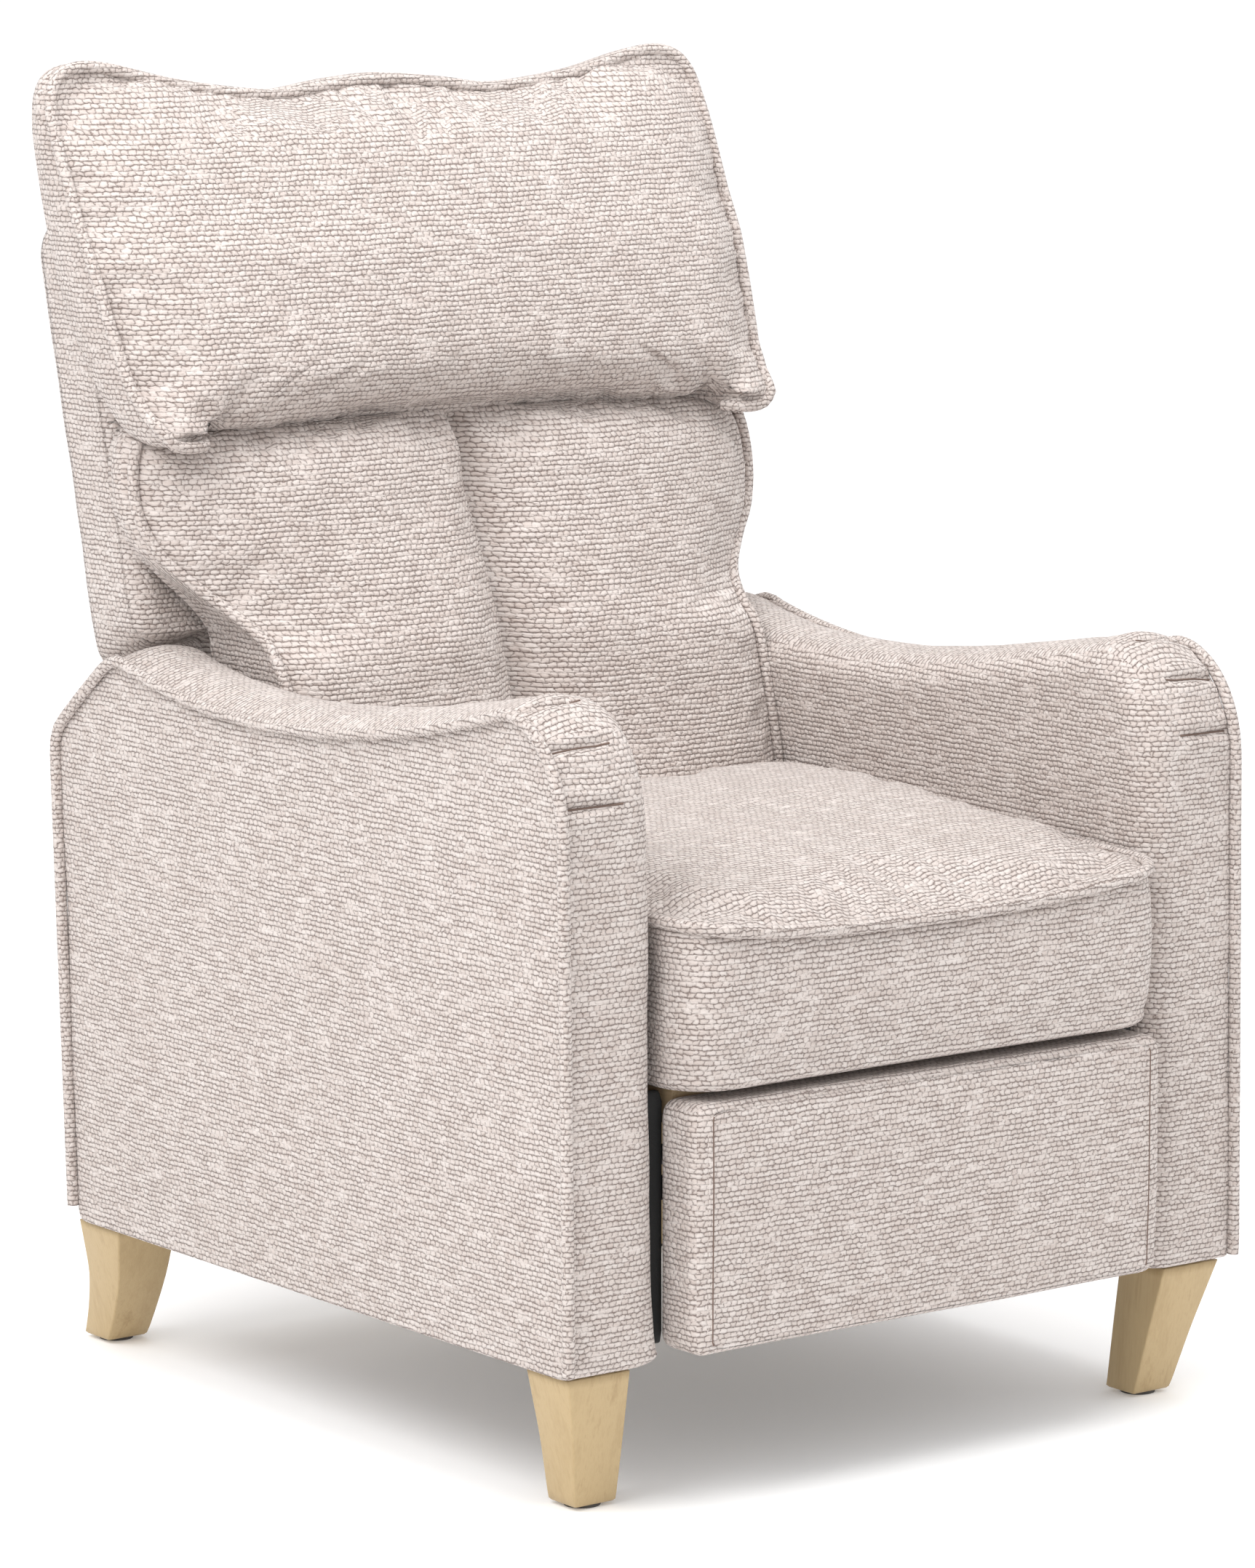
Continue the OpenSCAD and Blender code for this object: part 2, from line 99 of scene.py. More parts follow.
class Shade:
    # a node material being written
    def __init__(self, name):
        self.material = bpy.data.materials.new(name)
        self.material.use_nodes = True
        self.tree = self.material.node_tree
        self.shader = self.tree.nodes["Principled BSDF"]

    def node(self, kind, settings=None, inputs=None):
        made = self.tree.nodes.new(kind)
        for key, value in (settings or {}).items():
            if key == "stops":
                ramp = made.color_ramp.elements
                while len(ramp) < len(value):
                    ramp.new(0.5)
                for stop, (place, colour) in zip(ramp, value):
                    stop.position = place
                    stop.color = (*colour, 1.0)
            else:
                setattr(made, key, value)
        for key, value in (inputs or {}).items():
            if isinstance(value, Wire):
                self.tree.links.new(value.socket, made.inputs[key])
            else:
                made.inputs[key].default_value = value
        return [Wire(self, out) for out in made.outputs]

    def place(self, source="Object"):
        # object coordinates, or the piece's own fabric layout
        if source == "Object":
            return self.node("ShaderNodeTexCoord")[3]
        return self.node("ShaderNodeUVMap", {"uv_map": source})[0]

    def split(self, vector):
        return self.node("ShaderNodeSeparateXYZ", None, {0: vector})

    def join(self, x, y, z):
        return self.node("ShaderNodeCombineXYZ", None, {0: x, 1: y, 2: z})[0]

    def scaled(self, vector, amounts):
        return self.node("ShaderNodeVectorMath", {"operation": "MULTIPLY"},
                         {0: vector, 1: amounts})[0]

    def grain(self, vector, scale, detail=2.0, roughness=0.5):
        return self.node("ShaderNodeTexNoise", None, {"Vector": vector, "Scale": scale,
                                                      "Detail": detail, "Roughness": roughness})[0]

    def mix(self, factor, one, other):
        return self.node("ShaderNodeMix", {"data_type": "RGBA"}, {0: factor, 6: one, 7: other})[2]

    def feed(self, name, value):
        if isinstance(value, Wire):
            self.tree.links.new(value.socket, self.shader.inputs[name])
        else:
            self.shader.inputs[name].default_value = value

    def bump(self, height, distance):
        self.feed("Normal", self.node("ShaderNodeBump", None, {
            "Strength": 1.0, "Distance": distance, "Height": height})[0])


# shape tools

def smoothPath(points, step, closed=False):
    # even points along a Catmull-Rom curve through the given ones
    p = np.array(points, float)
    n = len(p)
    pieces = []
    spans = n if closed else n - 1
    for i in range(spans):
        if closed:
            a, b, c, d = (p[(i + k) % n] for k in (-1, 0, 1, 2))
        else:
            a, b, c, d = (p[min(max(i + k, 0), n - 1)] for k in (-1, 0, 1, 2))
        t = np.linspace(0, 1, 24, endpoint=False)[:, None]
        pieces.append(0.5 * ((2 * b) + (c - a) * t + (2 * a - 5 * b + 4 * c - d) * t ** 2
                             + (3 * b - a - 3 * c + d) * t ** 3))
    path = np.concatenate(pieces + [p[:1] if closed else p[-1:]])
    return evenly(path, step, closed)


def evenly(path, step, closed=False):
    # the same path with points an even step apart
    lengths = np.concatenate([[0], np.cumsum(np.linalg.norm(np.diff(path, axis=0), axis=1))])
    count = max(4, int(round(lengths[-1] / step)))
    places = np.linspace(0, lengths[-1], count + 1)
    if closed:
        places = places[:-1]
    return np.stack([np.interp(places, lengths, path[:, k]) for k in range(path.shape[1])], axis=1)


def roundedBox(halfW, low, high, radius, step=0.008):
    # closed outline with rounded corners in two dimensions
    corners = [(halfW, low), (halfW, high), (-halfW, high), (-halfW, low)]
    starts = (-90, 0, 90, 180)
    path = []
    for (cx, cz), start in zip(corners, starts):
        ox = cx - math.copysign(radius, cx)
        oz = cz + (radius if cz == low else -radius)
        for i in range(9):
            angle = math.radians(start + i * 90 / 8)
            path.append((ox + radius * math.cos(angle), oz + radius * math.sin(angle)))
    path.append(path[0])
    return evenly(np.array(path), step, True)


def finer(rings):
    # four-point subdivision of a sheet of rings, along and around
    ends = np.concatenate([2 * rings[:1] - rings[1:2], rings, 2 * rings[-1:] - rings[-2:-1]])
    middle = (9 * (ends[1:-2] + ends[2:-1]) - ends[:-3] - ends[3:]) / 16
    tall = np.empty((2 * len(rings) - 1,) + rings.shape[1:])
    tall[0::2] = rings
    tall[1::2] = middle
    around = (9 * (tall + np.roll(tall, -1, 1)) - np.roll(tall, 1, 1) - np.roll(tall, -2, 1)) / 16
    full = np.empty((tall.shape[0], 2 * tall.shape[1], 3))
    full[:, 0::2] = tall
    full[:, 1::2] = around
    return full


def evened(values, times=2):
    # values around a closed ring, smoothed
    for unused in range(times):
        values = (np.roll(values, 1) + 2 * values + np.roll(values, -1)) / 4
    return values


def loft(name, rings, fine=True):
    # closed skin through rings of equal count; the end rings shrink to poles
    rings = np.asarray(rings, float)
    if fine:
        rings = finer(rings)
    count, ringSize = rings.shape[:2]
    verts = [tuple(rings[0].mean(0))]
    verts += [tuple(v) for ring in rings[1:-1] for v in ring]
    verts.append(tuple(rings[-1].mean(0)))
    faces = []
    last = len(verts) - 1
    inner = count - 2
    for i in range(ringSize):
        j = (i + 1) % ringSize
        faces.append((0, 1 + i, 1 + j))
        for k in range(inner - 1):
            a = 1 + k * ringSize
            b = a + ringSize
            faces.append((a + i, b + i, b + j, a + j))
        tail = 1 + (inner - 1) * ringSize
        faces.append((tail + i, last, tail + j))
    mesh = bpy.data.meshes.new(name)
    mesh.from_pydata(verts, [], faces)
    piece = bpy.data.objects.new(name, mesh)
    bpy.context.collection.objects.link(piece)
    outward(piece)
    return piece


def outward(piece):
    work = bmesh.new()
    work.from_mesh(piece.data)
    bmesh.ops.recalc_face_normals(work, faces=work.faces)
    if work.calc_volume(signed=True) < 0:
        bmesh.ops.reverse_faces(work, faces=work.faces)
    work.to_mesh(piece.data)
    work.free()


def readPoints(piece):
    co = np.zeros(len(piece.data.vertices) * 3)
    piece.data.vertices.foreach_get("co", co)
    return co.reshape(-1, 3)


def writePoints(piece, co):
    piece.data.vertices.foreach_set("co", np.ascontiguousarray(co).ravel())
    piece.data.update()


def pointNormals(piece):
    no = np.zeros(len(piece.data.vertices) * 3)
    piece.data.vertices.foreach_get("normal", no)
    return no.reshape(-1, 3)


def ripple(co, size, seed):
    # smooth noise, one value a point
    return np.array([noise.noise(Vector(p / size) + Vector((seed, seed * 1.7, seed * 0.3)))
                     for p in co])


def layFabric(piece, favour=(1.0, 1.0, 1.0)):
    # fabric layout in metres: each face is laid flat along its main direction
    mesh = piece.data
    layer = mesh.uv_layers.new(name="weave")
    co = readPoints(piece)
    count = len(mesh.polygons)
    normals = np.zeros(count * 3)
    mesh.polygons.foreach_get("normal", normals)
    main = (np.abs(normals.reshape(-1, 3)) * np.array(favour)).argmax(1)
    totals = np.zeros(count, int)
    mesh.polygons.foreach_get("loop_total", totals)
    corner = np.zeros(len(mesh.loops), int)
    mesh.loops.foreach_get("vertex_index", corner)
    main = np.repeat(main, totals)
    p = co[corner]
    u = np.where(main == 0, p[:, 1], p[:, 0])
    v = np.where(main == 2, p[:, 1], p[:, 2])
    layer.data.foreach_set("uv", np.stack([u, v], 1).ravel())


def smooth(piece):
    piece.data.polygons.foreach_set("use_smooth", [True] * len(piece.data.polygons))


def wrinkle(piece, where, sizes, seed):
    # soft unevenness of stuffed cloth: sizes are (width, depth) pairs
    co = readPoints(piece)
    no = pointNormals(piece)
    amount = sum(depth * ripple(co, width, seed + 3 * i) for i, (width, depth) in enumerate(sizes))
    writePoints(piece, co + no * (amount * where(co, no))[:, None])


def onSurface(piece, points, lift):
    # the given points moved onto the piece's skin and raised a little
    moved = []
    for point in points:
        place, normal = piece.closest_point_on_mesh(Vector(point))[1:3]
        moved.append(place + normal * lift)
    return moved


def applyModifiers(piece):
    graph = bpy.context.evaluated_depsgraph_get()
    graph.update()
    plain = bpy.data.meshes.new_from_object(piece.evaluated_get(graph))
    piece.modifiers.clear()
    old = piece.data
    piece.data = plain
    bpy.data.meshes.remove(old)


clothLook = {
    "frames": 20, "mass": 0.25, "tension": 12.0, "bending": 0.35, "pressure": 2.0,
    "slack": 0.02,               # share of extra cloth
    "spread": 0.00002,           # keeps points apart, as the run stands still where two meet
}


def stuffed(rings, held, cap):
    # a short cloth run on the coarse skin, its seams held; no point moves further than cap
    rings = np.asarray(rings, float)
    c = clothLook
    piece = loft("clothRun", rings, False)
    spread = np.random.default_rng(3).normal(0.0, c["spread"], (len(piece.data.vertices), 3))
    before = readPoints(piece) + spread
    writePoints(piece, before)
    group = piece.vertex_groups.new(name="held")
    still = [int(i) for i in np.flatnonzero(held(before, pointNormals(piece)))]
    group.add(still, 1.0, "REPLACE")
    modifier = piece.modifiers.new("cloth", "CLOTH")
    settings = modifier.settings
    settings.quality = 6
    settings.mass = c["mass"]
    settings.tension_stiffness = c["tension"]
    settings.compression_stiffness = c["tension"]
    settings.shear_stiffness = c["tension"] * 0.4
    settings.bending_stiffness = c["bending"]
    settings.use_pressure = True
    settings.uniform_pressure_force = c["pressure"]
    settings.shrink_min = -c["slack"]
    settings.vertex_group_mass = "held"
    settings.effector_weights.gravity = 0.0
    modifier.collision_settings.use_collision = False
    modifier.point_cache.frame_start = 1
    modifier.point_cache.frame_end = c["frames"]
    for frameNumber in range(1, c["frames"] + 1):
        bpy.context.scene.frame_set(frameNumber)
    applyModifiers(piece)
    bpy.context.scene.frame_set(1)
    move = readPoints(piece) - before
    far = np.linalg.norm(move, axis=1)
    print("cloth moved", round(float(far.mean()), 4), "at most", round(float(far.max()), 4))
    full = before + move * np.minimum(1.0, cap / np.maximum(far, 1e-9))[:, None]
    bpy.data.objects.remove(piece)
    settled = rings.copy()
    settled[0] = full[0]
    settled[-1] = full[-1]
    settled[1:-1] = full[1:-1].reshape(settled[1:-1].shape)
    return settled


def dress(piece, material, body, stoodFor=()):
    piece.data.materials.clear()
    piece.data.materials.append(material)
    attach(piece, body)
    if stoodFor:
        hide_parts(*stoodFor)
    print("made", piece.name)
    return piece


# geometry nodes: tubes that follow a path

def tubeTree():
    tree = bpy.data.node_groups.new("pipingAlongPath", "GeometryNodeTree")
    face = tree.interface
    face.new_socket("Path", in_out="INPUT", socket_type="NodeSocketGeometry")
    face.new_socket("Radius", in_out="INPUT", socket_type="NodeSocketFloat")
    face.new_socket("Sides", in_out="INPUT", socket_type="NodeSocketInt")
    face.new_socket("Material", in_out="INPUT", socket_type="NodeSocketMaterial")
    face.new_socket("Tube", in_out="OUTPUT", socket_type="NodeSocketGeometry")

    def add(kind, inputs=None):
        made = tree.nodes.new(kind)
        for key, value in (inputs or {}).items():
            if hasattr(value, "is_output"):
                tree.links.new(value, made.inputs[key])
            else:
                made.inputs[key].default_value = value
        return made

    given = tree.nodes.new("NodeGroupInput").outputs
    path = add("GeometryNodeMeshToCurve", {"Mesh": given["Path"]})
    ring = add("GeometryNodeCurvePrimitiveCircle", {"Resolution": given["Sides"],
                                                    "Radius": given["Radius"]})
    tube = add("GeometryNodeCurveToMesh", {"Curve": path.outputs[0],
                                           "Profile Curve": ring.outputs[0], "Fill Caps": True})
    real = add("GeometryNodeRealizeInstances", {"Geometry": tube.outputs[0]})
    coloured = add("GeometryNodeSetMaterial", {"Geometry": real.outputs[0],
                                               "Material": given["Material"]})
    end = tree.nodes.new("NodeGroupOutput")
    tree.links.new(coloured.outputs[0], end.inputs[0])
    return tree


pipingTree = tubeTree()


def setInputs(modifier, values):
    sockets = {s.name: s.identifier for s in modifier.node_group.interface.items_tree
               if s.item_type == "SOCKET" and s.in_out == "INPUT"}
    for name, value in values.items():
        modifier[sockets[name]] = value


def piping(name, points, radius, material, body, closed=False):
    points = np.asarray(points, float)
    mesh = bpy.data.meshes.new(name)
    edges = [(i, i + 1) for i in range(len(points) - 1)]
    if closed:
        edges.append((len(points) - 1, 0))
    mesh.from_pydata([tuple(p) for p in points], edges, [])
    piece = bpy.data.objects.new(name, mesh)
    bpy.context.collection.objects.link(piece)
    modifier = piece.modifiers.new("tube", "NODES")
    modifier.node_group = pipingTree
    setInputs(modifier, {"Radius": radius, "Sides": 10, "Material": material})
    applyModifiers(piece)
    outward(piece)
    layFabric(piece)
    smooth(piece)
    return dress(piece, material, body)


# materials

fabricLook = {
    "row": 0.0040,               # height of one row of loops
    "loop": 0.0058,              # length of one loop along its row
    "light": (0.74, 0.675, 0.64),
    "mid": (0.55, 0.465, 0.425),
    # gap: dark colour painted as shade in the hollows between the loops
    "gap": (0.14, 0.095, 0.078),
    "relief": 0.0014,
}


def makeFabric(name):
    look = fabricLook
    shade = Shade(name)
    flat = shade.place("weave")
    u, v, unused = shade.split(flat)
    sway = shade.grain(flat, 36.0, 3.0) - 0.5
    jitter = shade.grain(flat, 230.0, 2.0) - 0.5
    v = v / look["row"] + 1.0 * sway + 0.75 * jitter
    row = v.math("FLOOR")
    ownShift = shade.node("ShaderNodeTexWhiteNoise", {"noise_dimensions": "1D"}, {1: row})[0]
    u = u / look["loop"] + row * 0.5 + 0.35 * ownShift + 1.0 * jitter
    cell = u.math("FLOOR")
    own = shade.node("ShaderNodeTexWhiteNoise", {"noise_dimensions": "2D"},
                     {"Vector": shade.join(cell, row, 0.0)})[0]
    loopRound = (u.math("FRACT") * math.pi).math("SINE").clamped(0.0, 1.0) ** 0.6
    rowRound = (v.math("FRACT") * math.pi).math("SINE").clamped(0.0, 1.0) ** 0.8
    # slubs: thick stretches of yarn that close the gaps around them
    slub = shade.grain(shade.scaled(flat, (42.0, 330.0, 1.0)), 1.0, 3.0, 0.6)
    closed = ((slub - 0.50) * 4.0).clamped(0.0, 1.0)
    fuzz = shade.grain(flat, 900.0, 3.0, 0.7)
    knot = rowRound * (0.08 + 0.92 * loopRound)
    height = knot + closed * (0.75 - 0.6 * knot) + 0.5 * (fuzz - 0.5)
    patch = shade.grain(flat, 12.0, 3.0)
    tint = (0.45 * own + 1.0 * slub + 0.45 * patch + 0.9 * fuzz - 0.95).clamped(0.0, 1.0)
    light = look["light"] + (1.0,)
    mid = look["mid"] + (1.0,)
    gap = look["gap"] + (1.0,)
    yarn = shade.mix(tint, mid, light)
    # the low parts of the weave take the gap colour: painted shade in the hollows between the loops
    shade.feed("Base Color", shade.mix((height * 1.7).clamped(0.0, 1.0), gap, yarn))
    shade.feed("Roughness", 0.93)
    shade.feed("Sheen Weight", 0.2)
    shade.feed("Sheen Roughness", 0.6)
    shade.bump(height, look["relief"])
    return shade.material


def makeWood(name, light, dark, along=2, gloss=0.45):
    shade = Shade(name)
    place = shade.place()
    stretch = [60.0, 60.0, 60.0]
    stretch[along] = 4.0
    bands = shade.grain(shade.scaled(place, tuple(stretch)), 1.0, 5.0, 0.6)
    fine = shade.grain(shade.scaled(place, tuple(s * 9 for s in stretch)), 1.0, 3.0, 0.6)
    figure = (bands * 0.75 + fine * 0.35).clamped(0.0, 1.0)
    shade.feed("Base Color", shade.node("ShaderNodeValToRGB", {"stops": [
        (0.36, dark), (0.52, light), (0.7, tuple(0.5 * (a + b) for a, b in zip(light, dark)))]},
        {0: figure})[0])
    shade.feed("Roughness", gloss + 0.12 * fine)
    shade.feed("Coat Weight", 0.12)
    shade.bump(fine, 0.0002)
    return shade.material


def makePlain(name, colour, roughness, metallic=0.0, spread=0.12, size=120.0, relief=0.0001):
    # metal, plastic or cloth that is even at a distance, with wear and fine texture
    shade = Shade(name)
    place = shade.place()
    coarse = shade.grain(place, size * 0.2, 3.0)
    fine = shade.grain(place, size * 6.0, 2.0)
    change = (coarse * 0.7 + fine * 0.3).clamped(0.0, 1.0)
    low = tuple(c * (1 - spread) for c in colour) + (1.0,)
    high = tuple(min(1.0, c * (1 + spread)) for c in colour) + (1.0,)
    shade.feed("Base Color", shade.mix(change, low, high))
    shade.feed("Roughness", (roughness - 0.1 + 0.2 * coarse).clamped(0.05, 1.0))
    shade.feed("Metallic", metallic)
    shade.bump(fine, relief)
    return shade.material


fabric = makeFabric("chunkyWeave")
seamShade = makePlain("seamShadow", (0.16, 0.11, 0.09), 0.95)
legWood = makeWood("paleAsh", (0.475, 0.35, 0.185), (0.375, 0.26, 0.125))
frameWood = makeWood("sawnSoftwood", (0.62, 0.46, 0.28), (0.45, 0.31, 0.17), 1, 0.7)
finishes = {
    "frame_wood": frameWood,
    "hardboard": makePlain("hardboard", (0.28, 0.18, 0.1), 0.7),
    "foam": makePlain("yellowFoam", (0.85, 0.77, 0.5), 0.95, relief=0.0006),
    "glide_plastic": makePlain("glidePlastic", (0.05, 0.045, 0.04), 0.5),
    "nylon": makePlain("nylon", (0.82, 0.8, 0.75), 0.4),
    "deck_cloth": makePlain("deckCloth", (0.5, 0.48, 0.45), 0.9, relief=0.0004),
    "dust_cloth": makePlain("dustCloth", (0.02, 0.02, 0.02), 0.95, relief=0.0004),
    "webbing": makePlain("webbing", (0.05, 0.05, 0.06), 0.85, relief=0.0004),
    "zinc": makePlain("zincPlate", (0.62, 0.62, 0.6), 0.35, 1.0),
    "spring_steel": makePlain("springWire", (0.32, 0.32, 0.33), 0.4, 1.0),
    "black_steel": makePlain("blackPowderCoat", (0.03, 0.03, 0.032), 0.45),
    "fabric": fabric,
    "leg_wood": legWood,
}
slotOf = {s["node"]: s["material_slot"] for s in frame["record"]["subparts"]}
for nodeName, cadPiece in frame["nodes"].items():
    cadPiece.data.materials.clear()
    cadPiece.data.materials.append(finishes[slotOf[nodeName]])
print("materials ready")


# camera, floor and light

camera = {"x": -3.0337, "y": -4.0086, "z": 1.2784, "azimuth": -37.21, "elevation": 9.016,
          "lens": 144.6}


def setCamera():
    data = bpy.data.cameras.new("camera")
    data.lens = camera["lens"]
    data.sensor_width = 36.0
    data.clip_end = 60.0
    eye = bpy.data.objects.new("camera", data)
    bpy.context.collection.objects.link(eye)
    eye.location = (camera["x"], camera["y"], camera["z"])
    eye.rotation_euler = (math.radians(90 - camera["elevation"]), 0,
                          math.radians(camera["azimuth"]))
    bpy.context.scene.camera = eye


def setStage():
    size = 30.0
    mesh = bpy.data.meshes.new("floor")
    mesh.from_pydata([(-size, -size, 0), (size, -size, 0), (size, size, 0), (-size, size, 0)],
                     [], [(0, 1, 2, 3)])
    floor = bpy.data.objects.new("floor", mesh)
    bpy.context.collection.objects.link(floor)
    shade = Shade("floorPaint")
    shade.feed("Base Color", (0.90, 0.90, 0.90, 1.0))
    shade.feed("Emission Color", (1.0, 1.0, 1.0, 1.0))
    shade.feed("Emission Strength", 0.15)
    shade.feed("Roughness", 0.9)
    mesh.materials.append(shade.material)


studio = {
    "world": 1.0,
    # name, place, aim, size in metres, power in watts
    "lamps": [("key", (-2.6, -0.7, 3.2), (0, 0, 0.5), 2.0, 70),
              ("top", (0.2, -0.5, 3.4), (0, 0, 0.4), 2.5, 46)],
}


def addLight(name, place, aim, size, power):
    data = bpy.data.lights.new(name, "AREA")
    data.size = size
    data.energy = power
    lamp = bpy.data.objects.new(name, data)
    bpy.context.collection.objects.link(lamp)
    lamp.location = place
    lamp.rotation_euler = (Vector(aim) - Vector(place)).to_track_quat("-Z", "Y").to_euler()


def setLights():
    world = bpy.data.worlds.new("studio")
    world.use_nodes = True
    world.node_tree.nodes["Background"].inputs["Color"].default_value = (1.0, 1.0, 1.0, 1.0)
    world.node_tree.nodes["Background"].inputs["Strength"].default_value = studio["world"]
    bpy.context.scene.world = world
    bpy.context.scene.view_settings.view_transform = "Standard"
    for lamp in studio["lamps"]:
        addLight(*lamp)


setCamera()
setStage()
setLights()
print("camera, floor and lights ready")


# arms

armLook = {
    "humpBack": 0.068, "humpZ": 0.600,          # front hump of the piped edge
    "curveZ": 0.516,                            # where the front starts to curve
    "dipBack": 0.397, "dipZ": 0.554,
    "rearBack": 0.598, "rearZ": 0.582,
    "footBack": 0.671, "footFront": -0.006,
    "innerRound": 0.026, "pipeRadius": 0.0048,
    "rearShoulder": [(0.590, 0.5812), (0.602, 0.5805), (0.614, 0.575), (0.645, 0.551),
                     (0.672, 0.529), (0.683, 0.519), (0.688, 0.509), (0.6885, 0.495)],
    "middle": (0.345, 0.33), "crown": 0.017, "crownLossRear": 0.008, "crownLossFront": 0.011,
    "outerRound": 0.006, "sidePuff": 0.004,
    "dartLength": 0.055, "dartZ": (0.540, 0.578, 0.5985), "dartSink": 0.0038,
    # the radius below is for the dark lines of painted shade along the dart grooves
    "dartWidth": 0.0026, "dartRadius": 0.0009,
}


def armProfile():
    # closed (back, height) outline of the piped edge, starting at the front foot
    a = armLook
    low = armBottomZ + 0.001
    path = [(a["footFront"], low + 0.006), (-0.003, 0.33)]
    for i in range(13):
        angle = math.pi - i * math.pi / 24
        path.append((a["humpBack"] * (1 + math.cos(angle)),
                     a["curveZ"] + (a["humpZ"] - a["curveZ"]) * math.sin(angle)))
    for i in range(1, 11):
        t = i / 10
        path.append((a["humpBack"] + t * (a["dipBack"] - a["humpBack"]),
                     a["dipZ"] + (a["humpZ"] - a["dipZ"]) * (1 - t) ** 2))
    for i in range(1, 8):
        t = i / 8
        path.append((a["dipBack"] + t * (a["rearBack"] - a["dipBack"]),
                     a["dipZ"] + (a["rearZ"] - a["dipZ"]) * t ** 2))
    path += a["rearShoulder"]
    path += [(a["footBack"], low + 0.006), (a["footBack"] - 0.002, low + 0.002),
             (a["footBack"] - 0.006, low), (a["footFront"] + 0.006, low),
             (a["footFront"] + 0.002, low + 0.002), (a["footFront"], low + 0.006)]
    dense = evenly(np.array(path), 0.002, True)
    for unused in range(4):
        dense = (np.roll(dense, 1, 0) + 2 * dense + np.roll(dense, -1, 0)) / 4
    # close steps on the front curve, where the darts are, and wide ones elsewhere
    step = np.where((dense[:, 0] < 0.11) & (dense[:, 1] > 0.45), 0.004, 0.012)
    kept = []
    travelled = 1.0
    for point, want in zip(dense, step):
        if travelled >= want - 1e-6:
            kept.append(point)
            travelled = 0.0
        travelled += 0.002
    return np.array(kept)


def profileNormals(profile):
    ahead = np.roll(profile, -2, 0) - np.roll(profile, 2, 0)
    normal = np.stack([-ahead[:, 1], ahead[:, 0]], 1)
    normal /= np.linalg.norm(normal, axis=1)[:, None]
    centre = profile.mean(0)
    if ((profile - centre) * normal).sum() < 0:
        normal = -normal
    return normal


def dartSpot(profile, z):
    # the outline's point on the front curve that is nearest to height z
    front = (profile[:, 0] < 0.08) & (profile[:, 1] > 0.45)
    return np.argmin(np.where(front, np.abs(profile[:, 1] - z), 9.0))


def dartDepth(profile, across):
    # three short darts let the band turn over the front curve
    a = armLook
    depth = np.zeros(len(profile))
    for z in a["dartZ"]:
        away = np.linalg.norm(profile - profile[dartSpot(profile, z)], axis=1)
        fade = max(0.0, min(1.0, (a["dartLength"] - across) / 0.012))
        depth += fade * (a["dartSink"] * np.exp(-(away / a["dartWidth"]) ** 2)
                         - 0.0016 * np.exp(-((away - 0.009) / 0.006) ** 2))
    return depth


